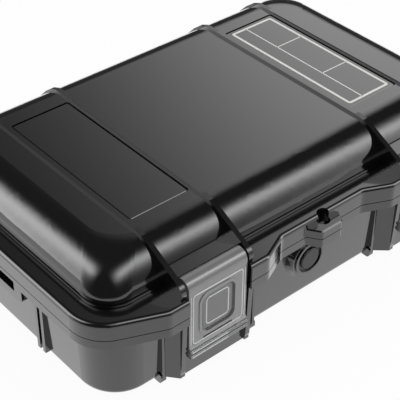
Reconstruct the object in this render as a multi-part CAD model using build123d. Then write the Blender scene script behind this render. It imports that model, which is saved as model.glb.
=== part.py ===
"""Small waterproof hard case: two moulded shells, two pivoting latches, a rear hinge and a vent valve.

Millimetres. X runs along the front, Y from front (-) to back (+), Z up. The origin is on the
resting plane, under the middle of the lid.
"""
import math
import os

from build123d import *

os.makedirs("parts", exist_ok=True)

# Overall form
CASE_LENGTH = 200.0
FRONT_FACE = 63.0
BACK_FACE = 60.5
FLANGE_CORNER = 15.0
FOOT_HEIGHT = 1.5
SEAM_HEIGHT = 32.0
SEAM_GAP = 0.3
LID_HEIGHT = 21.0
SHELF_DROP = 14.0
BASE_BAND = 3.45
WALL = 3.0

# Lid body
LID_INSET_X = 7.5
LID_INSET_FRONT = 7.5
LID_INSET_BACK = 5.0
LID_CORNER = 12.0
SHOULDER_STEPS = 6
SHELF_EDGE = 1.6
GROOVE_WIDTH = 0.9
GROOVE_DEPTH = 0.7
GROOVE_STEP = 0.5

# Base body
BASE_INSET_X = 3.8
BASE_INSET_FRONT = 2.3
BASE_INSET_BACK = 3.0
BASE_DRAFT = 1.0
BASE_CORNER = 16.0
BASE_EDGE = 2.5
FLOOR_EDGE = 4.0
RUNNER_WIDTH = 2.2
RUNNER_REACH = 0.7
END_RIB_Y = 23.0
END_RIB_PITCH = 3.2
END_RIB_WIDTH = 1.6
END_RIB_HEIGHT = 1.1

# Latch bays: a pair of ribs with a latch between them
LATCH_X = 52.75
BAY_PITCH = 29.5
RIB_THICK = 2.0
RIB_HEIGHT = 1.0
RIB_FRONT_START = 41.0
RIB_BACK_START = 38.0
JOG_OUT = 5.0
JOG_OUTER_DEPTH = 10.9
JOG_OUTER_LAND = 7.2
JOG_INNER_LAND = 6.8
JOG_INNER_RUN = 10.8
JOG_ROUND = 4.0
RIB_REACH = 3.4
RIB_FOOT = 1.1
FAIRING_OUTER = 4.2
FAIRING_INNER = 5.8

# Latch
PIVOT_Y = 62.8
PIVOT_DROP = 11.8
BARREL_R = 3.6
BOSS_R = 3.5
LATCH_SIDE_GAP = 0.95
LATCH_THICK = 2.5
LATCH_LOW = 11.1
LATCH_GAP = 0.4
HOOK_TOP = 14.5
HOOK_THICK = 2.0
HOOK_REACH = 1.7
HOOK_GAP = 0.4
LEDGE_GAP = 0.3
LEDGE_PROUD = 0.6
LEDGE_THICK = 2.6
LIP_OUT = 0.7
LIP_BEAD_R = 0.7
LIP_PITCH = 2.2
SLOT_WIDTH = 13.0
SLOT_HEIGHT = 0.9
SLOT_SINK = 0.7
WINDOW_WIDTH = 14.6
WINDOW_HEIGHT = 16.6
WINDOW_Z = 28.0
WINDOW_DEPTH = 0.9
WINDOW_ROUND = 3.0
WINDOW_RIM = 1.2
WINDOW_RIM_OUT = 0.35
INSERT_MARGIN = 0.8
INSERT_THICK = 0.5
LATCH_PIN_R = 1.25
SADDLE_GAP = 0.35
BRIDGE_THICK = 2.4

# Hinge
HINGE_OUT = 4.0
HINGE_R = 3.5
HINGE_PIN_R = 1.5
HINGE_SIDE_GAP = 0.35
KNUCKLE_DROP = 10.0
RUNNING_GAP = 0.05
SEAT_GAP = 0.02
PIN_BITE = 1.4

# Lock tab
TAB_OUT = 4.7
TAB_ROOT = 8.2
TAB_NOSE = 5.0
TAB_HEIGHT = 3.5
TAB_ROUND = 1.4
TAB_BEVEL = 0.5
LOCK_HOLE_R = 2.65
LOCK_HOLE_IN = 0.1

# Strap loop on the left end
LOOP_HALF = 18.4
LOOP_SLOT_HALF = 14.0
LOOP_BAR = 2.4
LOOP_LOW = 22.7
SLOT_LOW = 25.8
SLOT_HIGH = 30.6
SLOT_DEPTH = 4.8

# Top recesses and label
RECESS_SIDE_GAP = 0.75
RECESS_HALF = 36.0
RECESS_DEPTH = 1.0
PANEL_MARGIN = 0.5
PANEL_THICK = 0.8
PANEL_ROUND = 1.2

# Seal, liner and pad
SEAL_OUT = 1.7
SEAL_WIDTH = 2.6
SEAL_DEPTH = 2.4
SEAL_SIDE_GAP = 0.1
SEAL_PROUD = 0.2
LINER_GAP = 0.3
LINER_THICK = 1.8
LINER_BELOW = 1.3
PAD_THICK = 3.0
PAD_GAP = 0.1

# Vent valve
VALVE_X = -6.0
VALVE_Z = 21.3
COLLAR_R = 8.1
COLLAR_OUT = 2.4
COLLAR_FLARE = 1.6
BEZEL_R = 7.0
BEZEL_IN = 5.8
BEZEL_OUT = 0.6
POCKET_DEPTH = 2.0
SHANK_R = 4.2
SHANK_LENGTH = 10.0
HEAD_THICK = 1.1
VENT_R = 1.5
MEMBRANE_R = 3.8
MEMBRANE_THICK = 0.3
CAP_R = 4.4
CAP_THICK = 1.0
RING_R = 0.35
NUT_FLATS = 13.0
NUT_THICK = 2.6

# Heights and planes that follow from the sizes above
LID_TOP = SEAM_HEIGHT + LID_HEIGHT
SHELF_Z = LID_TOP - SHELF_DROP
LID_SEAM = SEAM_HEIGHT + SEAM_GAP / 2
BASE_SEAM = SEAM_HEIGHT - SEAM_GAP / 2
BAND_LOW = BASE_SEAM - BASE_BAND
FLANGE_X = CASE_LENGTH / 2
LATCH_PLANE = FRONT_FACE + JOG_OUT
LID_X = FLANGE_X - LID_INSET_X
LID_FRONT = FRONT_FACE - LID_INSET_FRONT
LID_BACK = BACK_FACE - LID_INSET_BACK
BASE_X = FLANGE_X - BASE_INSET_X
BASE_FRONT = FRONT_FACE - BASE_INSET_FRONT
BASE_BACK = BACK_FACE - BASE_INSET_BACK
CAVITY_X = BASE_X - BASE_DRAFT - WALL
CAVITY_FRONT = BASE_FRONT - BASE_DRAFT - WALL
CAVITY_BACK = BASE_BACK - BASE_DRAFT - WALL
CAVITY_ROUND = BASE_CORNER - WALL
PIVOT_Z = LID_TOP - PIVOT_DROP
HINGE_Y = BACK_FACE + HINGE_OUT
HINGE_Z = SEAM_HEIGHT
RIB_OFFSET = BAY_PITCH / 2
BAY_HALF = (BAY_PITCH - RIB_THICK) / 2
LATCH_HALF = BAY_HALF - LATCH_SIDE_GAP
RECESS_WIDTH = 2 * (BAY_HALF - RECESS_SIDE_GAP)
LATCH_FACE = PIVOT_Y + BARREL_R
LATCH_BACK = LATCH_FACE - LATCH_THICK
BAY_BACK = LATCH_BACK - LATCH_GAP
SIDES = (-1, 1)


def slab(x_half, front, back, corner, low, high):
    """Upright prism on a rounded rectangle, from y = -front to y = back."""
    outline = Pos(0, (back - front) / 2) * RectangleRounded(2 * x_half, front + back, corner)
    return extrude(Pos(0, 0, low) * outline, high - low)


def raised(sketch, low, high):
    """Upright prism on a flat sketch, from z = low to z = high."""
    return extrude(Pos(0, 0, low) * sketch, high - low, dir=(0, 0, 1))


def dome(x_half, front, back, corner, low, high, radius):
    """Rounded-rectangle body with a constant plan corner and a quarter-round shoulder."""
    sections = []
    for step in range(SHOULDER_STEPS + 1):
        turn = math.radians(90 * step / SHOULDER_STEPS)
        inset = radius * (1 - math.cos(turn))
        z = high - radius + radius * math.sin(turn)
        plan = RectangleRounded(2 * (x_half - inset), front + back - 2 * inset, corner)
        sections.append(Pos(0, (back - front) / 2, z) * plan)
    shoulder = loft(sections)
    return slab(x_half, front, back, corner, low, high - radius) + shoulder


def block(x0, x1, y0, y1, z0, z1):
    """Plain block between two corners."""
    centre = Pos((x0 + x1) / 2, (y0 + y1) / 2, (z0 + z1) / 2)
    return centre * Box(abs(x1 - x0), abs(y1 - y0), abs(z1 - z0))


def rod(radius, x0, x1, y, z):
    """Round bar along X."""
    return Pos((x0 + x1) / 2, y, z) * Rot(0, 90, 0) * Cylinder(radius, abs(x1 - x0))


def plate_x(sketch, x_mid, thick):
    """Plate of a (y, z) sketch, with its thickness along X about x_mid."""
    plane = Plane(origin=(x_mid - thick / 2, 0, 0), x_dir=(0, 1, 0), z_dir=(1, 0, 0))
    return extrude(plane * sketch, thick, dir=(1, 0, 0))


def hull_of(points, circles):
    """Convex outline round points and circles, each circle given as (y, z, radius)."""
    edges = list(Polyline(*points, close=True).edges())
    for y, z, radius in circles:
        edges += list((Pos(y, z) * Circle(radius)).edges())
    return make_hull(edges)


def flange_plan():
    """Flange outline: a rounded rectangle that steps out to each latch bay along the front."""
    rib_out = LATCH_X + RIB_OFFSET
    rib_in = LATCH_X - RIB_OFFSET
    right = [
        (FLANGE_X, BACK_FACE, FLANGE_CORNER),
        (FLANGE_X, -LATCH_PLANE + JOG_OUTER_DEPTH, FLANGE_CORNER),
        (rib_out + JOG_OUTER_LAND, -LATCH_PLANE, JOG_ROUND),
        (rib_in - JOG_INNER_LAND, -LATCH_PLANE, JOG_ROUND),
        (rib_in - JOG_INNER_LAND - JOG_INNER_RUN, -FRONT_FACE, JOG_ROUND),
    ]
    left = [(-x, y, radius) for x, y, radius in reversed(right)]
    corners = right + left
    path = FilletPolyline(*[(x, y) for x, y, _ in corners], radius=[r for _, _, r in corners], close=True)
    return make_face(path)


def flange(low, high):
    return raised(flange_plan(), low, high)


def lock_tab(low, high):
    """Tapered tab at the middle of the front, for a padlock."""
    outline = Polygon(
        (-TAB_ROOT, -FRONT_FACE + 1.0),
        (-TAB_ROOT, -FRONT_FACE),
        (-TAB_NOSE, -FRONT_FACE - TAB_OUT),
        (TAB_NOSE, -FRONT_FACE - TAB_OUT),
        (TAB_ROOT, -FRONT_FACE),
        (TAB_ROOT, -FRONT_FACE + 1.0),
        align=None,
    )
    nose = outline.vertices().filter_by(lambda v: v.Y < -FRONT_FACE - TAB_OUT / 2)
    return raised(fillet(nose, TAB_ROUND), low, high)


def lock_hole():
    """Cutter for the padlock hole, from just under the base band up through the lid."""
    low = BAND_LOW - 0.5
    depth = LID_TOP - low
    return Pos(0, -FRONT_FACE + LOCK_HOLE_IN, low + depth / 2) * Cylinder(LOCK_HOLE_R, depth)


def bay_cut(x_mid, low, high):
    """Clear space for a latch between the two ribs of a bay."""
    return block(x_mid - BAY_HALF, x_mid + BAY_HALF, -LATCH_PLANE - 1, -BAY_BACK, low, high)


def crest(wall, turn):
    """Point on a rib's crest where it follows the lid's shoulder, at turn degrees above level."""
    angle = math.radians(turn)
    out = wall - SHELF_DROP * (1 - math.cos(angle)) + RIB_HEIGHT * math.cos(angle)
    return (out, SHELF_Z + (SHELF_DROP + RIB_HEIGHT) * math.sin(angle))


def lid_rib(x_mid):
    """Rib over the lid: latch gusset in front, bead along the top, hinge gusset behind."""
    top = LID_TOP + RIB_HEIGHT
    shoulder = [(-y, z) for y, z in (crest(LID_FRONT, 75), crest(LID_FRONT, 60))]
    front = hull_of(
        [(-RIB_FRONT_START, top), (-RIB_FRONT_START, SHELF_Z), (-PIVOT_Y + BOSS_R, SHELF_Z)] + shoulder,
        [(-PIVOT_Y, PIVOT_Z, BOSS_R)],
    )
    shoulder = [crest(LID_BACK, turn) for turn in (75, 60, 45)]
    back = hull_of(
        [(RIB_BACK_START, top), (RIB_BACK_START, LID_SEAM)] + shoulder,
        [(HINGE_Y, HINGE_Z, HINGE_R)],
    )
    above = Pos(0, LID_SEAM + LID_HEIGHT) * Rectangle(6 * BACK_FACE, 2 * LID_HEIGHT)
    knuckle = Pos(HINGE_Y, HINGE_Z) * Circle(HINGE_R)
    back = (back & above) + knuckle
    bead = Polygon(
        (-RIB_FRONT_START, top),
        (RIB_BACK_START, top),
        (RIB_BACK_START, LID_TOP - WALL),
        (-RIB_FRONT_START, LID_TOP - WALL),
        align=None,
    )
    return [plate_x(sketch, x_mid, RIB_THICK) for sketch in (front, bead, back)]


def latch_bridge(x_mid):
    """Ledge between the two latch gussets, hollowed round the latch barrel."""
    ledge = block(
        x_mid - BAY_HALF, x_mid + BAY_HALF, -PIVOT_Y + 0.8, -LID_FRONT + 2.0,
        PIVOT_Z + BARREL_R - BRIDGE_THICK, PIVOT_Z + BARREL_R,
    )
    return ledge


def seal_ring(grow, low, high):
    """Ring that follows the cavity edge, as wide as the seal plus grow on each side."""
    outer = SEAL_OUT + SEAL_WIDTH / 2 + grow
    inner = SEAL_OUT - SEAL_WIDTH / 2 - grow
    big = slab(CAVITY_X + outer, CAVITY_FRONT + outer, CAVITY_BACK + outer, CAVITY_ROUND + outer, low, high)
    small = slab(CAVITY_X + inner, CAVITY_FRONT + inner, CAVITY_BACK + inner, CAVITY_ROUND + inner, low, high)
    return big - small


def make_lid_shell():
    body = dome(LID_X, LID_FRONT, LID_BACK, LID_CORNER, LID_SEAM, LID_TOP, SHELF_DROP)
    rim = flange(LID_SEAM, SHELF_Z)
    rim = fillet(rim.edges().group_by(Axis.Z)[-1], SHELF_EDGE)
    step = GROOVE_STEP + GROOVE_WIDTH
    ditch = slab(LID_X + step, LID_FRONT + step, LID_BACK + step, LID_CORNER + step, SHELF_Z - GROOVE_DEPTH, SHELF_Z)
    kerb = slab(
        LID_X + GROOVE_STEP, LID_FRONT + GROOVE_STEP, LID_BACK + GROOVE_STEP, LID_CORNER + GROOVE_STEP,
        SHELF_Z - GROOVE_DEPTH, SHELF_Z,
    )
    tab = lock_tab(LID_SEAM, LID_SEAM + TAB_HEIGHT)
    tab = chamfer(tab.edges().group_by(Axis.Z)[-1], TAB_BEVEL)
    shell = body + (rim - (ditch - kerb)) + tab
    for side in SIDES:
        bay = side * LATCH_X
        shell -= bay_cut(bay, LID_SEAM - 1, SHELF_Z + 1)
        shell += latch_bridge(bay)
        shell -= rod(BARREL_R + SADDLE_GAP, bay - BAY_HALF, bay + BAY_HALF, -PIVOT_Y, PIVOT_Z)
        recess = RectangleRounded(RECESS_WIDTH, 2 * RECESS_HALF, PANEL_ROUND)
        shell -= extrude(Pos(bay, 0, LID_TOP - RECESS_DEPTH) * recess, SHELF_DROP)
        for rib in SIDES:
            for piece in lid_rib(bay + rib * RIB_OFFSET):
                shell += piece
    shell -= dome(
        LID_X - WALL, LID_FRONT - WALL, LID_BACK - WALL, LID_CORNER - WALL, LID_SEAM - 1, LID_TOP - WALL,
        SHELF_DROP - WALL,
    )
    shell -= seal_ring(0, LID_SEAM - 1, LID_SEAM + SEAL_DEPTH)
    shell -= lock_hole()
    for side in SIDES:
        bay = side * LATCH_X
        latch_half = BAY_HALF + PIN_BITE
        shell -= rod(LATCH_PIN_R + SEAT_GAP, bay - latch_half, bay + latch_half, -PIVOT_Y, PIVOT_Z)
        shell -= rod(HINGE_PIN_R + RUNNING_GAP, bay - latch_half, bay + latch_half, HINGE_Y, HINGE_Z)
    return shell


def base_rib(x_mid):
    """Upright rib beside a latch, leaning out slightly towards the flange, round at its foot."""
    foot = FOOT_HEIGHT + RIB_FOOT
    low = BASE_FRONT + RIB_REACH + 1.7
    high = low + 0.9
    sketch = hull_of(
        [(-CAVITY_FRONT - 1, foot), (-CAVITY_FRONT - 1, BASE_SEAM), (-high, BASE_SEAM), (-high, BAND_LOW)],
        [(-low + 3.0, foot + 3.0, 3.0)],
    )
    return plate_x(sketch, x_mid, RIB_THICK)


def fairing(x_mid, side):
    """Slanted filler walls that run from the case wall out to the two ribs of a bay."""
    front = BASE_FRONT + RIB_REACH + 1.3
    root = CAVITY_FRONT + 1
    outer = RIB_OFFSET + RIB_THICK / 2
    outline = []
    for direction, run in ((side, FAIRING_OUTER), (-side, FAIRING_INNER)):
        rib_face = x_mid + direction * outer
        back_in = x_mid + direction * (outer - RIB_THICK)
        wedge = Polygon(
            (rib_face + direction * run, -BASE_FRONT + 0.4),
            (rib_face + direction * run, -root),
            (back_in, -root),
            (back_in, -front),
            (rib_face, -front),
            align=None,
        )
        outline.append(raised(wedge, FOOT_HEIGHT + RIB_FOOT, BASE_SEAM))
    return outline


def catch_block(x_mid):
    """Base wall between the ribs: backing, lower boss and the ledge that the latch hooks under."""
    half = BAY_HALF + 0.5
    back = -CAVITY_FRONT - 1
    ledge_face = LATCH_BACK - HOOK_REACH - LEDGE_GAP
    wall_face = ledge_face - LEDGE_PROUD
    backing = block(x_mid - half, x_mid + half, -wall_face, back, FOOT_HEIGHT + 0.5, BASE_SEAM)
    boss = block(x_mid - half, x_mid + half, -LATCH_BACK - 0.2, back, FOOT_HEIGHT, LATCH_LOW - SEAM_GAP)
    boss = chamfer(boss.edges().filter_by(Axis.X).group_by(Axis.Y)[0], 0.5)
    ledge_low = HOOK_TOP + HOOK_GAP
    ledge = block(x_mid - half, x_mid + half, -ledge_face, back, ledge_low, ledge_low + LEDGE_THICK)
    return [backing, boss, ledge]


def end_ribs(side):
    """Double upright beads on an end wall."""
    face = BASE_X + END_RIB_HEIGHT - BASE_DRAFT / 2
    beads = []
    for place in SIDES:
        for offset in SIDES:
            y = place * END_RIB_Y + offset * END_RIB_PITCH / 2
            bead = block(
                side * CAVITY_X + side, side * face, y - END_RIB_WIDTH / 2, y + END_RIB_WIDTH / 2,
                FOOT_HEIGHT + 1.0, BAND_LOW,
            )
            beads.append(bead)
    return beads


def runners():
    """Low skids under the case that turn up the front and back walls as thin beads."""
    pieces = []
    inner = LATCH_X - RIB_OFFSET - RIB_THICK / 2 - FAIRING_INNER
    outer = LATCH_X + RIB_OFFSET + RIB_THICK / 2 + FAIRING_OUTER
    front = BASE_FRONT + RUNNER_REACH
    back = BASE_BACK + RUNNER_REACH
    for side in SIDES:
        for x_mid in (side * inner, side * outer):
            sketch = Pos((back - front) / 2, FOOT_HEIGHT + 0.5) * RectangleRounded(
                front + back, 2 * FOOT_HEIGHT + 1.0, FOOT_HEIGHT
            )
            pieces.append(plate_x(sketch, x_mid, RUNNER_WIDTH))
            bead = block(
                x_mid - RUNNER_WIDTH / 4, x_mid + RUNNER_WIDTH / 4, -front, -CAVITY_FRONT - 1,
                FOOT_HEIGHT + 1.0, BAND_LOW,
            )
            pieces.append(bead)
    return pieces


def strap_loop():
    """Bar below the flange on the left end, with a post at each end."""
    outer = -FLANGE_X
    wall = -CAVITY_X - 1
    bar = block(outer, outer + LOOP_BAR, -LOOP_HALF, LOOP_HALF, LOOP_LOW, BAND_LOW + 1)
    bar = fillet(bar.edges().filter_by(Axis.X).group_by(Axis.Z)[0], 2.0)
    posts = []
    for side in SIDES:
        post = block(outer, wall, side * LOOP_SLOT_HALF, side * LOOP_HALF, LOOP_LOW, BAND_LOW + 1)
        lower = post.edges().filter_by(Axis.X).group_by(Axis.Z)[0].sort_by(Axis.Y)
        corner = lower[0] if side < 0 else lower[-1]
        posts.append(fillet(corner, 2.0))
    return [bar] + posts


def hinge_knuckle(x_mid):
    """Base knuckle between two lid gussets, on a web that grows out of the back wall."""
    half = BAY_HALF - HINGE_SIDE_GAP
    sketch = hull_of(
        [(BASE_BACK - BASE_DRAFT - 1, BASE_SEAM), (BASE_BACK - BASE_DRAFT - 1, HINGE_Z - KNUCKLE_DROP),
         (BACK_FACE, BASE_SEAM)],
        [(HINGE_Y, HINGE_Z, HINGE_R)],
    )
    below = Pos(0, BASE_SEAM - LID_HEIGHT) * Rectangle(6 * BACK_FACE, 2 * LID_HEIGHT)
    sketch = (sketch & below) + Pos(HINGE_Y, HINGE_Z) * Circle(HINGE_R)
    return plate_x(sketch, x_mid, 2 * half)


def along_y(shape, front_y):
    """Stand a shape that points along +Z on the valve axis, so that it points out of the front."""
    return Pos(VALVE_X, -front_y, VALVE_Z) * Rot(90, 0, 0) * shape


def disc(radius, depth, front_y):
    """Round disc on the valve axis whose front is at y = -front_y."""
    return along_y(Pos(0, 0, -depth / 2) * Cylinder(radius, depth), front_y)


COLLAR_FRONT = BASE_FRONT + COLLAR_OUT
POCKET_FLOOR = COLLAR_FRONT - POCKET_DEPTH


def valve_collar():
    """Moulded boss on the front wall, tapering out to the valve's seat."""
    depth = COLLAR_FRONT - BASE_FRONT + BASE_DRAFT
    cone = Cone(COLLAR_R + COLLAR_FLARE, COLLAR_R, depth)
    return along_y(Pos(0, 0, -depth / 2) * cone, COLLAR_FRONT)


def make_base_shell():
    bottom = Pos(0, (BASE_BACK - BASE_FRONT) / 2, FOOT_HEIGHT) * RectangleRounded(
        2 * (BASE_X - BASE_DRAFT), BASE_FRONT + BASE_BACK - 2 * BASE_DRAFT, BASE_CORNER - BASE_DRAFT
    )
    top = Pos(0, (BASE_BACK - BASE_FRONT) / 2, BASE_SEAM) * RectangleRounded(
        2 * BASE_X, BASE_FRONT + BASE_BACK, BASE_CORNER
    )
    body = loft([bottom, top])
    body = fillet(body.edges().group_by(Axis.Z)[0], BASE_EDGE)
    band = flange(BAND_LOW, BASE_SEAM)
    shell = body + band + lock_tab(BAND_LOW, BASE_SEAM)
    for side in SIDES:
        bay = side * LATCH_X
        shell -= bay_cut(bay, 0, BASE_SEAM + 1)
        for piece in catch_block(bay) + fairing(bay, side):
            shell += piece
        for rib in SIDES:
            shell += base_rib(bay + rib * RIB_OFFSET)
        for bead in end_ribs(side):
            shell += bead
        shell += hinge_knuckle(bay)
    for piece in runners() + strap_loop():
        shell += piece
    shell += valve_collar()
    cavity = slab(
        CAVITY_X, CAVITY_FRONT, CAVITY_BACK, CAVITY_ROUND, FOOT_HEIGHT + WALL, BASE_SEAM + 1
    )
    cavity = fillet(cavity.edges().group_by(Axis.Z)[0], FLOOR_EDGE)
    shell -= cavity
    shell -= block(
        -FLANGE_X - 1, -FLANGE_X + SLOT_DEPTH, -LOOP_SLOT_HALF, LOOP_SLOT_HALF, SLOT_LOW, SLOT_HIGH
    )
    shell -= lock_hole()
    shell -= disc(BEZEL_R + SEAT_GAP, POCKET_DEPTH, COLLAR_FRONT)
    shell -= disc(SHANK_R + RUNNING_GAP, SHANK_LENGTH, COLLAR_FRONT)
    for side in SIDES:
        bay = side * LATCH_X
        shell -= rod(HINGE_PIN_R + SEAT_GAP, bay - BAY_HALF, bay + BAY_HALF, HINGE_Y, HINGE_Z)
    return shell


def latch_profile():
    """Side view of the latch: barrel, face plate, beaded pull lip and hook."""
    lip_top = LATCH_LOW + 2 * LIP_PITCH
    plate = Polygon(
        (-LATCH_FACE, PIVOT_Z),
        (-LATCH_FACE, lip_top + LIP_OUT),
        (-LATCH_FACE - LIP_OUT, lip_top),
        (-LATCH_FACE - LIP_OUT, LATCH_LOW),
        (-LATCH_BACK + HOOK_REACH, LATCH_LOW + 0.4),
        (-LATCH_BACK + HOOK_REACH, HOOK_TOP),
        (-LATCH_BACK, HOOK_TOP),
        (-LATCH_BACK, PIVOT_Z),
        align=None,
    )
    profile = plate + Pos(-PIVOT_Y, PIVOT_Z) * Circle(BARREL_R)
    for step in (1, 3):
        profile += Pos(-LATCH_FACE - LIP_OUT, LATCH_LOW + step * LIP_PITCH / 2) * Circle(LIP_BEAD_R)
    return profile


def window_face(x_mid, width, height, rounding, y):
    """Rounded rectangle standing on the latch face."""
    plane = Plane(origin=(x_mid, y, WINDOW_Z), x_dir=(1, 0, 0), z_dir=(0, 1, 0))
    return plane * RectangleRounded(width, height, rounding)


def make_latch(x_mid):
    latch = plate_x(latch_profile(), x_mid, 2 * LATCH_HALF)
    rim = window_face(
        x_mid, WINDOW_WIDTH + 2 * WINDOW_RIM, WINDOW_HEIGHT + 2 * WINDOW_RIM, WINDOW_ROUND + WINDOW_RIM,
        -LATCH_FACE - WINDOW_RIM_OUT,
    )
    latch += extrude(rim, WINDOW_RIM_OUT + LATCH_THICK / 2)
    recess = window_face(x_mid, WINDOW_WIDTH, WINDOW_HEIGHT, WINDOW_ROUND, -LATCH_FACE - WINDOW_RIM_OUT)
    latch -= extrude(recess, WINDOW_DEPTH + WINDOW_RIM_OUT)
    slot_mid = (WINDOW_Z - WINDOW_HEIGHT / 2 - WINDOW_RIM + LATCH_LOW + 2 * LIP_PITCH + LIP_OUT) / 2
    latch -= block(
        x_mid - SLOT_WIDTH / 2, x_mid + SLOT_WIDTH / 2, -LATCH_FACE - 1, -LATCH_FACE + SLOT_SINK,
        slot_mid - SLOT_HEIGHT / 2, slot_mid + SLOT_HEIGHT / 2,
    )
    return latch - rod(LATCH_PIN_R + RUNNING_GAP, x_mid - BAY_HALF, x_mid + BAY_HALF, -PIVOT_Y, PIVOT_Z)


def make_latch_window(x_mid):
    face = window_face(
        x_mid, WINDOW_WIDTH - 2 * INSERT_MARGIN, WINDOW_HEIGHT - 2 * INSERT_MARGIN,
        WINDOW_ROUND - INSERT_MARGIN, -LATCH_FACE + WINDOW_DEPTH - INSERT_THICK,
    )
    return extrude(face, INSERT_THICK)


def make_latch_pin(x_mid):
    reach = BAY_HALF + PIN_BITE - 0.1
    return rod(LATCH_PIN_R, x_mid - reach, x_mid + reach, -PIVOT_Y, PIVOT_Z)


def make_hinge_pin(x_mid):
    reach = BAY_HALF + PIN_BITE - 0.1
    return rod(HINGE_PIN_R, x_mid - reach, x_mid + reach, HINGE_Y, HINGE_Z)


def make_gasket():
    return seal_ring(-SEAL_SIDE_GAP, LID_SEAM - SEAL_PROUD / 2, LID_SEAM + SEAL_DEPTH)


def make_liner():
    """Rubber tray inside the base, cut away round the valve nut."""
    low = FOOT_HEIGHT + WALL + SEAT_GAP
    high = BASE_SEAM - LINER_BELOW
    gap = LINER_GAP
    outer = slab(CAVITY_X - gap, CAVITY_FRONT - gap, CAVITY_BACK - gap, CAVITY_ROUND - gap, low, high)
    outer = fillet(outer.edges().group_by(Axis.Z)[0], FLOOR_EDGE)
    inset = gap + LINER_THICK
    inner = slab(
        CAVITY_X - inset, CAVITY_FRONT - inset, CAVITY_BACK - inset, CAVITY_ROUND - inset,
        low + LINER_THICK, high + 1,
    )
    inner = fillet(inner.edges().group_by(Axis.Z)[0], FLOOR_EDGE - LINER_THICK)
    tray = outer - inner
    return tray - disc(NUT_FLATS / 2 + 2.0, 2 * NUT_THICK, CAVITY_FRONT + 1)


def make_lid_pad():
    flat = SHELF_DROP
    pad = slab(
        LID_X - flat, LID_FRONT - flat, LID_BACK - flat, LID_CORNER - WALL,
        LID_TOP - WALL - PAD_GAP - PAD_THICK, LID_TOP - WALL - PAD_GAP,
    )
    return fillet(pad.edges().group_by(Axis.Z)[0], PAD_THICK / 3)


def make_panel(x_mid):
    """Thin plate set into a recess of the lid top."""
    width = RECESS_WIDTH - 2 * PANEL_MARGIN
    length = 2 * (RECESS_HALF - PANEL_MARGIN)
    plate = extrude(
        Pos(x_mid, 0, LID_TOP - RECESS_DEPTH) * RectangleRounded(width, length, PANEL_ROUND - PANEL_MARGIN),
        PANEL_THICK,
    )
    return chamfer(plate.edges().group_by(Axis.Z)[-1], PANEL_THICK / 4)


def make_valve_body():
    """Headed hollow stem through the wall, with a seat for the membrane."""
    head_front = POCKET_FLOOR + 2 * RING_R + HEAD_THICK
    head = disc(BEZEL_R - 0.2, HEAD_THICK, head_front)
    shank = disc(SHANK_R, head_front - COLLAR_FRONT + SHANK_LENGTH, head_front)
    seat = disc(MEMBRANE_R + SEAT_GAP, MEMBRANE_THICK, head_front)
    return head + shank - seat - disc(VENT_R, 4 * SHANK_LENGTH, head_front + SHANK_LENGTH)


VALVE_HEAD = POCKET_FLOOR + 2 * RING_R + HEAD_THICK


def make_valve_ring():
    ring = disc(BEZEL_R, BEZEL_OUT + COLLAR_FRONT - VALVE_HEAD, COLLAR_FRONT + BEZEL_OUT)
    ring -= disc(BEZEL_IN, 4 * BEZEL_OUT + POCKET_DEPTH, COLLAR_FRONT + 2 * BEZEL_OUT)
    return fillet(ring.edges().filter_by(GeomType.CIRCLE).group_by(Axis.Y)[0], BEZEL_OUT / 4)


def make_valve_cap():
    """Shallow domed cover with side vents, in front of the membrane."""
    cap = disc(CAP_R, CAP_THICK, VALVE_HEAD + CAP_THICK)
    cap = fillet(cap.edges().filter_by(GeomType.CIRCLE).group_by(Axis.Y)[0], CAP_THICK * 0.7)
    vents = [
        along_y(Rot(0, 0, 45 + 90 * i) * Pos(CAP_R, 0, 0.2) * Box(2.4, 0.9, 0.5), VALVE_HEAD) for i in range(4)
    ]
    for vent in vents:
        cap -= vent
    return cap


def make_valve_membrane():
    return disc(MEMBRANE_R, MEMBRANE_THICK - SEAT_GAP, VALVE_HEAD - SEAT_GAP)


def make_valve_o_ring():
    middle = (SHANK_R + BEZEL_R) / 2
    return along_y(Torus(middle, RING_R), POCKET_FLOOR + RING_R)


def make_valve_nut():
    front = CAVITY_FRONT - SEAT_GAP
    nut = extrude(RegularPolygon(NUT_FLATS / 2, 6, major_radius=False), NUT_THICK)
    nut = along_y(Pos(0, 0, -NUT_THICK) * nut, front)
    return nut - disc(SHANK_R + SEAT_GAP, 4 * NUT_THICK, front + NUT_THICK)


def main():
    pieces = {
        "base_shell": make_base_shell(),
        "lid_shell": make_lid_shell(),
        "lid_gasket": make_gasket(),
        "lid_pad": make_lid_pad(),
        "base_liner": make_liner(),
        "valve_body": make_valve_body(),
        "valve_ring": make_valve_ring(),
        "valve_cap": make_valve_cap(),
        "valve_membrane": make_valve_membrane(),
        "valve_o_ring": make_valve_o_ring(),
        "valve_nut": make_valve_nut(),
    }
    for side, name in zip(SIDES, ("left", "right")):
        bay = side * LATCH_X
        pieces["latch_" + name] = make_latch(bay)
        pieces["latch_window_" + name] = make_latch_window(bay)
        pieces["latch_pin_" + name] = make_latch_pin(bay)
        pieces["hinge_pin_" + name] = make_hinge_pin(bay)
        pieces["panel_" + name] = make_panel(bay)
    for name, shape in pieces.items():
        export_step(shape, "parts/" + name + ".step")


main()
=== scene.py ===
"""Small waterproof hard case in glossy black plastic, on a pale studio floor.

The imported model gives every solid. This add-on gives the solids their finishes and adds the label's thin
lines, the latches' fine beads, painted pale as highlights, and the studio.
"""

import math

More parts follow.
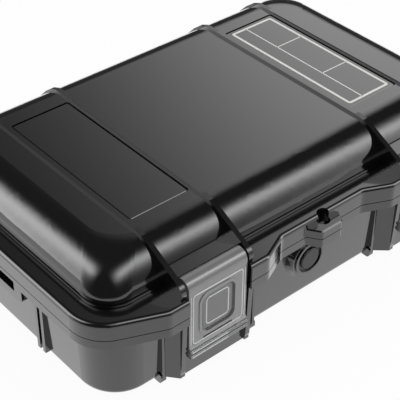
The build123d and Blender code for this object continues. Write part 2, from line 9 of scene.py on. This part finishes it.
import bpy
import numpy as np
from mathutils import Matrix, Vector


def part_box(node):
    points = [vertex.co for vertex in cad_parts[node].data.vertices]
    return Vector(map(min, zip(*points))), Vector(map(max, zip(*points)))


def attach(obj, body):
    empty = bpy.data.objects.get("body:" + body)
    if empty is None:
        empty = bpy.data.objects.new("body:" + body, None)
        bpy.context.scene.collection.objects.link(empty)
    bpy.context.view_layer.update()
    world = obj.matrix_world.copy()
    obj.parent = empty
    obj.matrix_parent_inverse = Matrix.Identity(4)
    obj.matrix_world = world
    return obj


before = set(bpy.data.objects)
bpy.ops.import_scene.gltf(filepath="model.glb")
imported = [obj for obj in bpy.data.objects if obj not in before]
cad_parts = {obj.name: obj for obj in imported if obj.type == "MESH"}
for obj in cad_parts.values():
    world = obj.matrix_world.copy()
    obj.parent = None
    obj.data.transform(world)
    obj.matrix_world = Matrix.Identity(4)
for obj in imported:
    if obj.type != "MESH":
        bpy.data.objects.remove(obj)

bl_info = {
    "name": "Waterproof Hard Case",
    "version": (1, 0, 0),
    "blender": (4, 5, 0),
    "location": "3D View > Sidebar > Hard Case",
    "description": "Finishes, label lines, latch beads and studio for a small waterproof hard case",
    "category": "Object",
}

MM = 0.001

# Finish of the moulded plastics
COAT_ROUGHNESS = 0.04
GRAIN_DEPTH = 0.02 * MM

# Label: the ink stands INK_HALF out of the plate and as far in. Rules end inside the frame's stroke, by
# RULE_STOP of its width. The column and the rows stand at shares of the frame's half width and height.
INK_HALF = 0.05 * MM
INNER_ROUND = 0.8
RULE_STOP = 0.7
COLUMN_SHARE = -0.30
ROW_SHARES = (-0.34, 0.42)

# Latches: where the flat face stands, how deep a bead sits in it, the rounding of the two frames, and the
# thin lines beside them
LATCH_FACE_Y = -66.4 * MM
BEAD_SEAT = 0.05 * MM
FRAME_ROUND = 1.2 * MM
WINDOW_ROUND = 1.4 * MM
CREST_START = 0.4 * MM
CREST_OUT = 0.03 * MM
CREST_IN = 0.06 * MM
LEFT_LINE = 0.7 * MM
RIGHT_LINE = 0.9 * MM

# Studio
FLOOR_SIZE = 0.7
PAPER_WHITE = 0.9
PAPER_GLOW = 0.95
LAMP_PLACE = (0.1, -0.2, 1.1)
LAMP_TARGET = (0, 0, 0.03)
LAMP_SIDE = 0.6
CAMERA_PLACE = (-0.2513, -0.2864, 0.30435)
CAMERA_AZIMUTH = math.radians(40.82)
CAMERA_ELEVATION = math.radians(37.97)
CAMERA_ROLL = math.radians(0.49)
SENSOR_WIDTH = 36
CLIP_START = 0.01

# Soft boxes in the gloss, in parts of a unit direction: middle and width of each bell, and the stretches
# over which its ends fade in
FRONT_BELL = (-0.56, 0.19)
FRONT_FADE = (-0.45, 0.0)
LEFT_BELL = (-0.62, 0.19)
LEFT_FADE = (-0.1, 0.3)
BACK_BELL = (0.68, 0.17)
BACK_FADE = (0.2, 0.5)
BACK_RISE = (0.28, 0.48)


# Sizes and colours that a user would change

class LabelSettings(bpy.types.PropertyGroup):
    stroke: bpy.props.FloatProperty(
        name="Frame stroke", description="Width of the label's outer line", default=0.0011, unit="LENGTH")
    rule: bpy.props.FloatProperty(
        name="Rule stroke", description="Width of the label's inner lines", default=0.0005, unit="LENGTH")
    margin: bpy.props.FloatProperty(
        name="Margin", description="Panel edge to the outer line", default=0.0015, unit="LENGTH")
    corner: bpy.props.FloatProperty(
        name="Corner", description="Corner radius of the outer line", default=0.0012, unit="LENGTH")


class TrimSettings(bpy.types.PropertyGroup):
    radius: bpy.props.FloatProperty(
        name="Bead radius", description="Radius of the fine beads", default=0.00028, unit="LENGTH")
    inset: bpy.props.FloatProperty(
        name="Side inset", description="Latch side to the bead", default=0.0018, unit="LENGTH")
    drop: bpy.props.FloatProperty(
        name="Top inset", description="Top of the latch to the bead", default=0.0062, unit="LENGTH")
    rise: bpy.props.FloatProperty(
        name="Bottom inset", description="Bottom of the latch to the bead", default=0.0056, unit="LENGTH")
    window_inset: bpy.props.FloatProperty(
        name="Window inset", description="Inlay edge to its bead", default=0.0016, unit="LENGTH")
    proud: bpy.props.FloatProperty(
        name="Line height", description="How far the upright lines stand out, and half their width",
        default=0.00016, unit="LENGTH")
    crest_low: bpy.props.FloatProperty(
        name="Low crest", description="Latch bottom to the lower lip line", default=0.0011, unit="LENGTH")
    crest_high: bpy.props.FloatProperty(
        name="High crest", description="Latch bottom to the upper lip line", default=0.0033, unit="LENGTH")
    crest_short: bpy.props.FloatProperty(
        name="Crest end", description="Right side of the latch to the end of the lip lines", default=0.009,
        unit="LENGTH")
    # Pale colour of the latch beads and lines: a painted highlight on the latch's edges.
    colour: bpy.props.StringProperty(
        name="Painted highlight colour", description="sRGB hex of the light-catching edges", default="#cfd0d1")


class FinishSettings(bpy.types.PropertyGroup):
    shell: bpy.props.StringProperty(
        name="Shell colour", description="sRGB hex of the two shells", default="#0e0e10")
    latch: bpy.props.StringProperty(
        name="Latch colour", description="sRGB hex of the smoky latches", default="#8a8a8b")
    ink: bpy.props.StringProperty(
        name="Ink colour", description="sRGB hex of the printed label lines", default="#e9e9e6")


class StudioSettings(bpy.types.PropertyGroup):
    lens: bpy.props.FloatProperty(
        name="Lens", description="Focal length in millimetres", default=107.8)
    key: bpy.props.FloatProperty(
        name="Key lamp", description="Power of the overhead lamp", default=1.5, unit="POWER")
    air: bpy.props.FloatProperty(
        name="Air", description="Brightness of the white air on matt surfaces", default=0.75)
    backdrop: bpy.props.FloatProperty(
        name="Backdrop", description="Brightness of the background that the camera sees", default=0.97)
    front: bpy.props.FloatProperty(
        name="Front box", description="Brightness of the front soft box in the gloss", default=3.6)
    left: bpy.props.FloatProperty(
        name="Left box", description="Brightness of the left soft box in the gloss", default=4.2)
    back: bpy.props.FloatProperty(
        name="Back box", description="Brightness of the back right soft box in the gloss", default=1.4)
    room: bpy.props.FloatProperty(
        name="Room", description="Brightness of the dark room in the gloss", default=0.06)


# Colours, nodes and materials

def hex_linear(text):
    """Linear RGBA from an sRGB hex value: c/12.92 below 0.04045, otherwise ((c+0.055)/1.055)^2.4."""
    srgb = np.array([int(text[i:i + 2], 16) for i in (1, 3, 5)]) / 255
    linear = np.where(srgb <= 0.04045, srgb / 12.92, ((srgb + 0.055) / 1.055) ** 2.4)
    return (*map(float, linear), 1.0)


def empty_tree(block):
    """The cleared shader tree of a new material or world."""
    block.use_nodes = True
    block.node_tree.nodes.clear()
    return block.node_tree


def add_node(tree, kind, inputs=(), **settings):
    """One node with its settings. Each (socket, value) in inputs links a node's first output, or a given
    output, to that socket, or sets the socket to a constant."""
    node = tree.nodes.new(kind)
    for key, value in settings.items():
        setattr(node, key, value)
    for socket, value in inputs:
        if isinstance(value, bpy.types.Node):
            tree.links.new(value.outputs[0], node.inputs[socket])
        elif isinstance(value, bpy.types.NodeSocket):
            tree.links.new(value, node.inputs[socket])
        else:
            node.inputs[socket].default_value = value
    return node


def plastic(name, colour, roughness, ior=1.5, coat=0.0, clear=0.0, grain=None):
    """Moulded polymer: one Principled shader. grain is (size in mm, strength) of the surface's fine dents, a
    shallow bump with one noise cell to a grain."""
    material = bpy.data.materials.new(name)
    tree = empty_tree(material)
    shader = add_node(tree, "ShaderNodeBsdfPrincipled", [
        ("Base Color", hex_linear(colour)), ("Roughness", roughness), ("IOR", ior),
        ("Coat Weight", coat), ("Coat Roughness", COAT_ROUGHNESS), ("Transmission Weight", clear)])
    if grain:
        size_mm, strength = grain
        where = add_node(tree, "ShaderNodeTexCoord")
        noise = add_node(tree, "ShaderNodeTexNoise", [
            ("Vector", where.outputs["Object"]), ("Scale", 1 / (size_mm * MM)),
            ("Detail", 2.0), ("Roughness", 0.5)])
        bump = add_node(tree, "ShaderNodeBump", [
            ("Height", noise), ("Strength", strength), ("Distance", GRAIN_DEPTH)])
        tree.links.new(bump.outputs["Normal"], shader.inputs["Normal"])
    add_node(tree, "ShaderNodeOutputMaterial", [("Surface", shader)])
    return material


def steel(name, colour, roughness):
    """Drawn steel wire: a metal with the default IOR, its colour as its reflection."""
    material = bpy.data.materials.new(name)
    tree = empty_tree(material)
    shader = add_node(tree, "ShaderNodeBsdfPrincipled", [
        ("Base Color", hex_linear(colour)), ("Metallic", 1.0), ("Roughness", roughness)])
    add_node(tree, "ShaderNodeOutputMaterial", [("Surface", shader)])
    return material


def case_finishes(look):
    """The case's materials, each with the solids that it covers."""
    # Injection-moulded ABS from a polished mould: dark, with sharp, broad reflections.
    shell = plastic("Glossy black ABS", look.shell, 0.12, coat=1.0)
    # Moulded smoky polycarbonate: paler than the shell, glossy, and some light passes through it.
    latch = plastic("Smoky polycarbonate", look.latch, 0.1, ior=1.58, coat=0.8, clear=0.25)
    # The same plastic in the window: darker, with a softer highlight.
    inlay = plastic("Dark polycarbonate inlay", "#646465", 0.18, ior=1.58, coat=0.4)
    # Moulded nylon: black, with a wide, soft highlight.
    valve = plastic("Satin black nylon", "#17171a", 0.35, ior=1.53)
    # Moulded EPDM: nearly black, with hardly a highlight.
    seal = plastic("Matt EPDM rubber", "#1b1b1c", 0.7, ior=1.47)
    # Moulded soft rubber: matt, with a fine pebble that breaks up the light.
    liner = plastic("Soft moulded rubber liner", "#202022", 0.75, ior=1.47, grain=(0.8, 0.3))
    # Closed-cell foam: dark grey and dull, with small dents all over.
    foam = plastic("Closed-cell foam sheet", "#2a2a2c", 0.9, ior=1.4, grain=(1.2, 0.6))
    # Pressed fluoropolymer fibre: pale and chalky.
    membrane = plastic("Porous fluoropolymer membrane", "#d8d8d4", 0.6, ior=1.35)
    # Drawn wire: a narrow bright streak along each pin.
    wire = steel("Drawn steel wire", "#b9babc", 0.3)
    return [
        (shell, ("base_shell", "lid_shell", "panel_left", "panel_right", "valve_ring")),
        (latch, ("latch_left", "latch_right")),
        (inlay, ("latch_window_left", "latch_window_right")),
        (valve, ("valve_body", "valve_cap", "valve_nut")),
        (seal, ("valve_o_ring", "lid_gasket")),
        (liner, ("base_liner",)),
        (foam, ("lid_pad",)),
        (membrane, ("valve_membrane",)),
        (wire, ("latch_pin_left", "latch_pin_right", "hinge_pin_left", "hinge_pin_right")),
    ]


def finish_node(name, material):
    """Puts one material on a CAD node's slots."""
    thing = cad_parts[name]
    if not thing.material_slots:
        thing.data.materials.append(material)
    for place in thing.material_slots:
        place.link = "OBJECT"
        place.material = material


# Surfaces

def mesh_piece(name, vertices, faces, material, body):
    """A new piece from its arrays, riding one body and using one material slot."""
    mesh = bpy.data.meshes.new(name)
    mesh.from_pydata(vertices.tolist(), [], faces.tolist())
    mesh.validate()
    mesh.materials.append(material)
    piece = bpy.data.objects.new(name, mesh)
    bpy.context.scene.collection.objects.link(piece)
    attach(piece, body)


def rounded_path(half_width, half_height, radius, steps=8):
    """Points round a rounded rectangle: each corner's centre plus radius * (cos, sin) over a quarter turn."""
    corner = np.repeat(np.arange(4), steps + 1)
    turn = np.tile(np.linspace(0, math.pi / 2, steps + 1), 4) + corner * math.pi / 2
    sign_x = np.array([1, -1, -1, 1])[corner]
    sign_y = np.array([1, 1, -1, -1])[corner]
    x = sign_x * (half_width - radius) + radius * np.cos(turn)
    y = sign_y * (half_height - radius) + radius * np.sin(turn)
    return np.stack([x, y], axis=1)


def ribbon(inner, outer, centre, low, high):
    """Closed flat ring between two like paths: four rails (outer low, outer high, inner high, inner low)
    joined round, so that point i of rail j meets point i + 1 of rail j + 1."""
    count = len(inner)
    rails = [(outer, low), (outer, high), (inner, high), (inner, low)]
    points = np.concatenate([np.column_stack([path + centre, np.full(count, z)]) for path, z in rails])
    j, i = (grid.ravel() for grid in np.meshgrid(np.arange(4), np.arange(count), indexing="ij"))
    here = j * count
    following = (j + 1) % 4 * count
    ahead = (i + 1) % count
    return points, np.stack([here + i, here + ahead, following + ahead, following + i], axis=1)


def ridge(path, centre, radius, face_y, steps=6):
    """Half-round bead along a closed path of (x, z) points on an upright face: each section point is the
    path point plus radius * cos(a) along the path's outward normal, and face_y - radius * sin(a) in depth."""
    ahead = np.roll(path, -1, axis=0) - np.roll(path, 1, axis=0)
    ahead /= np.linalg.norm(ahead, axis=1, keepdims=True)
    normal = np.stack([ahead[:, 1], -ahead[:, 0]], axis=1)
    turn = np.linspace(0, math.pi, steps + 1)
    flat = (path + centre)[:, None, :] + radius * np.cos(turn)[None, :, None] * normal[:, None, :]
    depth = np.broadcast_to(face_y - radius * np.sin(turn), flat.shape[:2])
    points = np.stack([flat[..., 0], depth, flat[..., 1]], axis=-1).reshape(-1, 3)
    rows, columns = len(path), steps + 1
    i, j = (grid.ravel() for grid in np.meshgrid(np.arange(rows), np.arange(columns), indexing="ij"))
    here = i * columns
    following = (i + 1) % rows * columns
    across = (j + 1) % columns
    return points, np.stack([here + j, following + j, following + across, here + across], axis=1)


def bar(low, high):
    """Thin bar between two corners: the eight corners of a box and its six outward faces."""
    spans = (low[2], high[2]), (low[1], high[1]), (low[0], high[0])
    points = np.stack(np.meshgrid(*spans, indexing="ij"), axis=-1).reshape(-1, 3)[:, ::-1]
    faces = np.array([(0, 2, 3, 1), (4, 5, 7, 6), (0, 1, 5, 4), (1, 3, 7, 5), (3, 2, 6, 7), (2, 0, 4, 6)])
    return points, faces


def join_surfaces(parts):
    """One vertex array and one face array from several, each face array shifted past the vertices so far."""
    counts = np.cumsum([0] + [len(vertices) for vertices, _ in parts[:-1]])
    vertices = np.concatenate([vertices for vertices, _ in parts])
    faces = np.concatenate([faces + shift for (_, faces), shift in zip(parts, counts)])
    return vertices, faces


def corners(box):
    """Low and high corner of a CAD node's box, as arrays."""
    return (np.array(corner) for corner in box)


# Label and latch trim

def label_surfaces(low, high, lines):
    """A rounded frame on the panel between low and high, one column line and two rows right of it."""
    centre = (low[:2] + high[:2]) / 2
    half = (high[:2] - low[:2]) / 2 - lines.margin
    seat = high[2] - INK_HALF
    top = high[2] + INK_HALF
    outer = rounded_path(*half, lines.corner)
    inner = rounded_path(*(half - lines.stroke), lines.corner - lines.stroke * INNER_ROUND)
    reach = half - lines.stroke * RULE_STOP
    rule_half = lines.rule / 2
    column = centre[0] + half[0] * COLUMN_SHARE
    parts = [
        ribbon(inner, outer, centre, seat, top),
        bar((column - rule_half, centre[1] - reach[1], seat),
            (column + rule_half, centre[1] + reach[1], top)),
    ]
    for share in ROW_SHARES:
        row = centre[1] + half[1] * share
        parts.append(bar((column, row - rule_half, seat), (centre[0] + reach[0], row + rule_half, top)))
    return join_surfaces(parts)


def latch_surfaces(low, high, inlay_low, inlay_high, trim):
    """Beads round the latch's face and its inlay, a crest line on each bead of the lip, and two upright
    lines, on the latch between low and high. The crest lines are thin, nearly flat strips. With the beads and
    the upright lines they carry the pale painted highlight."""
    bottom = low[2] + trim.rise
    top = high[2] - trim.drop
    face_centre = ((low[0] + high[0]) / 2, (top + bottom) / 2)
    face_path = rounded_path((high[0] - low[0]) / 2 - trim.inset, (top - bottom) / 2, FRAME_ROUND)
    inlay_centre = (inlay_low + inlay_high) / 2
    inlay_half = (inlay_high - inlay_low) / 2 - trim.window_inset
    inlay_path = rounded_path(inlay_half[0], inlay_half[2], WINDOW_ROUND)
    parts = [
        ridge(face_path, face_centre, trim.radius, LATCH_FACE_Y + BEAD_SEAT),
        ridge(inlay_path, inlay_centre[[0, 2]], trim.radius, inlay_low[1] + BEAD_SEAT),
    ]
    # Nearly flat strips on the crests of the lip's beads, there to carry the painted highlight.
    for crest in (low[2] + trim.crest_low, low[2] + trim.crest_high):
        parts.append(bar((low[0] + CREST_START, low[1] - CREST_OUT, crest - trim.radius),
                         (high[0] - trim.crest_short, low[1] + CREST_IN, crest + trim.radius)))
    for line in (low[0] + LEFT_LINE, high[0] - RIGHT_LINE):
        parts.append(bar((line - trim.proud, LATCH_FACE_Y - trim.proud, bottom),
                         (line + trim.proud, LATCH_FACE_Y + BEAD_SEAT, top)))
    return join_surfaces(parts)


# Studio

def paper_sweep():
    """White paper. The camera, clear plastic and gloss see it glow almost fully, so it is as pale as the
    background with a trace of shadow. All other rays see plain paper."""
    paper = bpy.data.materials.new("White paper sweep")
    tree = empty_tree(paper)
    sheet = add_node(tree, "ShaderNodeBsdfDiffuse", [("Color", (PAPER_WHITE, PAPER_WHITE, PAPER_WHITE, 1))])
    glow = add_node(tree, "ShaderNodeEmission", [("Color", (1, 1, 1, 1)), ("Strength", 1.0)])
    ray = add_node(tree, "ShaderNodeLightPath")
    clear = add_node(tree, "ShaderNodeMath", [
        (0, ray.outputs["Is Camera Ray"]), (1, ray.outputs["Is Transmission Ray"])], operation="MAXIMUM")
    seen = add_node(tree, "ShaderNodeMath", [(0, clear), (1, ray.outputs["Is Glossy Ray"])],
                    operation="MAXIMUM")
    share = add_node(tree, "ShaderNodeMath", [(0, seen), (1, PAPER_GLOW)], operation="MULTIPLY")
    mix = add_node(tree, "ShaderNodeMixShader", [(0, share), (1, sheet), (2, glow)])
    add_node(tree, "ShaderNodeOutputMaterial", [("Surface", mix)])
    return paper


def soft_box(tree, along, bell, height, fades):
    """height * exp(-((along - middle) / width)^2), times a smooth step from 0 to 1 over the stretch of each
    (axis, stretch) in fades."""
    middle, width = bell
    off = add_node(tree, "ShaderNodeMath", [(0, along), (1, middle)], operation="SUBTRACT")
    scaled = add_node(tree, "ShaderNodeMath", [(0, off), (1, width)], operation="DIVIDE")
    square = add_node(tree, "ShaderNodeMath", [(0, scaled), (1, scaled)], operation="MULTIPLY")
    fall = add_node(tree, "ShaderNodeMath", [(0, square), (1, -1.0)], operation="MULTIPLY")
    lobe = add_node(tree, "ShaderNodeMath", [(0, fall)], operation="EXPONENT")
    light = add_node(tree, "ShaderNodeMath", [(0, lobe), (1, height)], operation="MULTIPLY")
    for axis, (start, end) in fades:
        edge = add_node(tree, "ShaderNodeMapRange", [(0, axis), (1, start), (2, end), (3, 0.0), (4, 1.0)],
                        interpolation_type="SMOOTHSTEP")
        light = add_node(tree, "ShaderNodeMath", [(0, light), (1, edge)], operation="MULTIPLY")
    return light


def studio_air(studio):
    """The camera sees plain white, and soft white air lights the case. The gloss shows a dark room with three
    soft boxes: front and left for the two shoulders, back right for the flat top."""
    world = bpy.data.worlds.new("Studio air")
    tree = empty_tree(world)
    way = add_node(tree, "ShaderNodeTexCoord")
    axes = add_node(tree, "ShaderNodeSeparateXYZ", [(0, way.outputs["Generated"])])
    east, north, height = (axes.outputs[axis] for axis in "XYZ")
    boxes = (
        soft_box(tree, north, FRONT_BELL, studio.front, [(east, FRONT_FADE)]),
        soft_box(tree, east, LEFT_BELL, studio.left, [(north, LEFT_FADE)]),
        soft_box(tree, east, BACK_BELL, studio.back, [(north, BACK_FADE), (height, BACK_RISE)]),
    )
    total = studio.room
    for box in boxes:
        total = add_node(tree, "ShaderNodeMath", [(0, box), (1, total)], operation="ADD")
    ray = add_node(tree, "ShaderNodeLightPath")
    air = add_node(tree, "ShaderNodeBackground", [("Color", (1, 1, 1, 1)), ("Strength", studio.air)])
    room = add_node(tree, "ShaderNodeBackground", [("Color", (1, 1, 1, 1)), ("Strength", total)])
    white = add_node(tree, "ShaderNodeBackground", [("Color", (1, 1, 1, 1)), ("Strength", studio.backdrop)])
    lit = add_node(tree, "ShaderNodeMixShader", [(0, ray.outputs["Is Glossy Ray"]), (1, air), (2, room)])
    seen = add_node(tree, "ShaderNodeMixShader", [(0, ray.outputs["Is Camera Ray"]), (1, lit), (2, white)])
    add_node(tree, "ShaderNodeOutputWorld", [("Surface", seen)])
    return world


def facing(place, forward, roll=0.0):
    """Matrix at place that looks along forward: level = forward x Z, up = level x forward, and both are
    turned by roll about the view."""
    forward = np.array(forward) / np.linalg.norm(forward)
    level = np.cross(forward, (0, 0, 1))
    level /= np.linalg.norm(level)
    up = np.cross(level, forward)
    across = math.cos(roll) * level + math.sin(roll) * up
    upward = -math.sin(roll) * level + math.cos(roll) * up
    turn = np.column_stack([across, upward, -forward])
    return Matrix.Translation(place) @ Matrix(turn.tolist()).to_4x4()


def overhead_box(power):
    """Square area lamp above the case. The world's soft boxes make the highlights, so the lamp itself stays
    out of the gloss."""
    data = bpy.data.lights.new("overhead_box", "AREA")
    data.shape = "SQUARE"
    data.size = LAMP_SIDE
    data.energy = power
    lamp = bpy.data.objects.new("overhead_box", data)
    lamp.visible_glossy = False
    lamp.matrix_world = facing(LAMP_PLACE, np.array(LAMP_TARGET) - np.array(LAMP_PLACE))
    return lamp


def photo_camera(lens):
    """Camera above the front left corner, turned and tilted as in the photograph."""
    camera = bpy.data.objects.new("camera", bpy.data.cameras.new("camera"))
    forward = (math.sin(CAMERA_AZIMUTH) * math.cos(CAMERA_ELEVATION),
               math.cos(CAMERA_AZIMUTH) * math.cos(CAMERA_ELEVATION),
               -math.sin(CAMERA_ELEVATION))
    camera.matrix_world = facing(CAMERA_PLACE, forward, CAMERA_ROLL)
    camera.data.lens = lens
    camera.data.sensor_width = SENSOR_WIDTH
    camera.data.clip_start = CLIP_START
    return camera


# Operators

class HARDCASE_OT_finishes(bpy.types.Operator):
    """Give every solid of the case its finish"""
    bl_idname = "hardcase.finishes"
    bl_label = "Case finishes"

    def execute(self, context):
        for material, names in case_finishes(context.scene.hardcase_finish):
            for name in names:
                finish_node(name, material)
        return {"FINISHED"}


class HARDCASE_OT_label(bpy.types.Operator):
    """Add the printed lines of the write-on label to the right panel"""
    bl_idname = "hardcase.label"
    bl_label = "Label lines"

    def execute(self, context):
        # Pad-printed ink: off-white and matt, a film too thin to cast a shadow.
        ink = plastic("White pad-print ink", context.scene.hardcase_finish.ink, 0.5)
        low, high = corners(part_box("panel_right"))
        vertices, faces = label_surfaces(low, high, context.scene.hardcase_label)
        mesh_piece("label_lines", vertices, faces, ink, "lid")
        return {"FINISHED"}


class HARDCASE_OT_latch_beads(bpy.types.Operator):
    """Add the fine moulded beads and lines on both latches, in a pale colour that paints their highlights"""
    bl_idname = "hardcase.latch_beads"
    bl_label = "Latch beads"

    def execute(self, context):
        trim = context.scene.hardcase_trim
        # Painted highlight: the beads and lines get a pale polycarbonate in place of the light that the
        # rounded edges of clear plastic catch.
        edge = plastic("Painted highlight on polycarbonate edges", trim.colour, 0.15, ior=1.58, coat=0.8)
        for side in ("left", "right"):
            low, high = corners(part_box("latch_" + side))
            inlay_low, inlay_high = corners(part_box("latch_window_" + side))
            vertices, faces = latch_surfaces(low, high, inlay_low, inlay_high, trim)
            mesh_piece("latch_beads_" + side, vertices, faces, edge, "latch_" + side + "_body")
        return {"FINISHED"}


class HARDCASE_OT_stage(bpy.types.Operator):
    """Add the pale floor, the lamp, the world and the camera"""
    bl_idname = "hardcase.stage"
    bl_label = "Studio"

    def execute(self, context):
        scene = context.scene
        studio = scene.hardcase_studio
        bpy.ops.mesh.primitive_plane_add(size=FLOOR_SIZE, location=(0, 0, 0))
        floor = context.object
        floor.name = "floor"
        floor.data.materials.append(paper_sweep())
        scene.world = studio_air(studio)
        scene.collection.objects.link(overhead_box(studio.key))
        camera = photo_camera(studio.lens)
        scene.collection.objects.link(camera)
        scene.camera = camera
        scene.view_settings.view_transform = "Standard"
        return {"FINISHED"}


class HARDCASE_PT_panel(bpy.types.Panel):
    """Sizes, colours and operators of the case"""
    bl_idname = "HARDCASE_PT_panel"
    bl_label = "Hard Case"
    bl_space_type = "VIEW_3D"
    bl_region_type = "UI"
    bl_category = "Hard Case"

    def draw(self, context):
        scene = context.scene
        groups = scene.hardcase_finish, scene.hardcase_label, scene.hardcase_trim, scene.hardcase_studio
        for settings in groups:
            for name in settings.__annotations__:
                self.layout.prop(settings, name)
        for operator in OPERATORS:
            self.layout.operator(operator.bl_idname)


SETTINGS = (LabelSettings, TrimSettings, FinishSettings, StudioSettings)
OPERATORS = (HARDCASE_OT_finishes, HARDCASE_OT_label, HARDCASE_OT_latch_beads, HARDCASE_OT_stage)


def register():
    for each in SETTINGS + OPERATORS + (HARDCASE_PT_panel,):
        bpy.utils.register_class(each)
    bpy.types.Scene.hardcase_label = bpy.props.PointerProperty(type=LabelSettings)
    bpy.types.Scene.hardcase_trim = bpy.props.PointerProperty(type=TrimSettings)
    bpy.types.Scene.hardcase_finish = bpy.props.PointerProperty(type=FinishSettings)
    bpy.types.Scene.hardcase_studio = bpy.props.PointerProperty(type=StudioSettings)


def unregister():
    for name in ("hardcase_studio", "hardcase_finish", "hardcase_trim", "hardcase_label"):
        delattr(bpy.types.Scene, name)
    for each in reversed(SETTINGS + OPERATORS + (HARDCASE_PT_panel,)):
        bpy.utils.unregister_class(each)


def main():
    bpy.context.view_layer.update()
    register()
    bpy.ops.hardcase.finishes()
    bpy.ops.hardcase.label()
    bpy.ops.hardcase.latch_beads()
    bpy.ops.hardcase.stage()


if __name__ == "__main__":
    main()
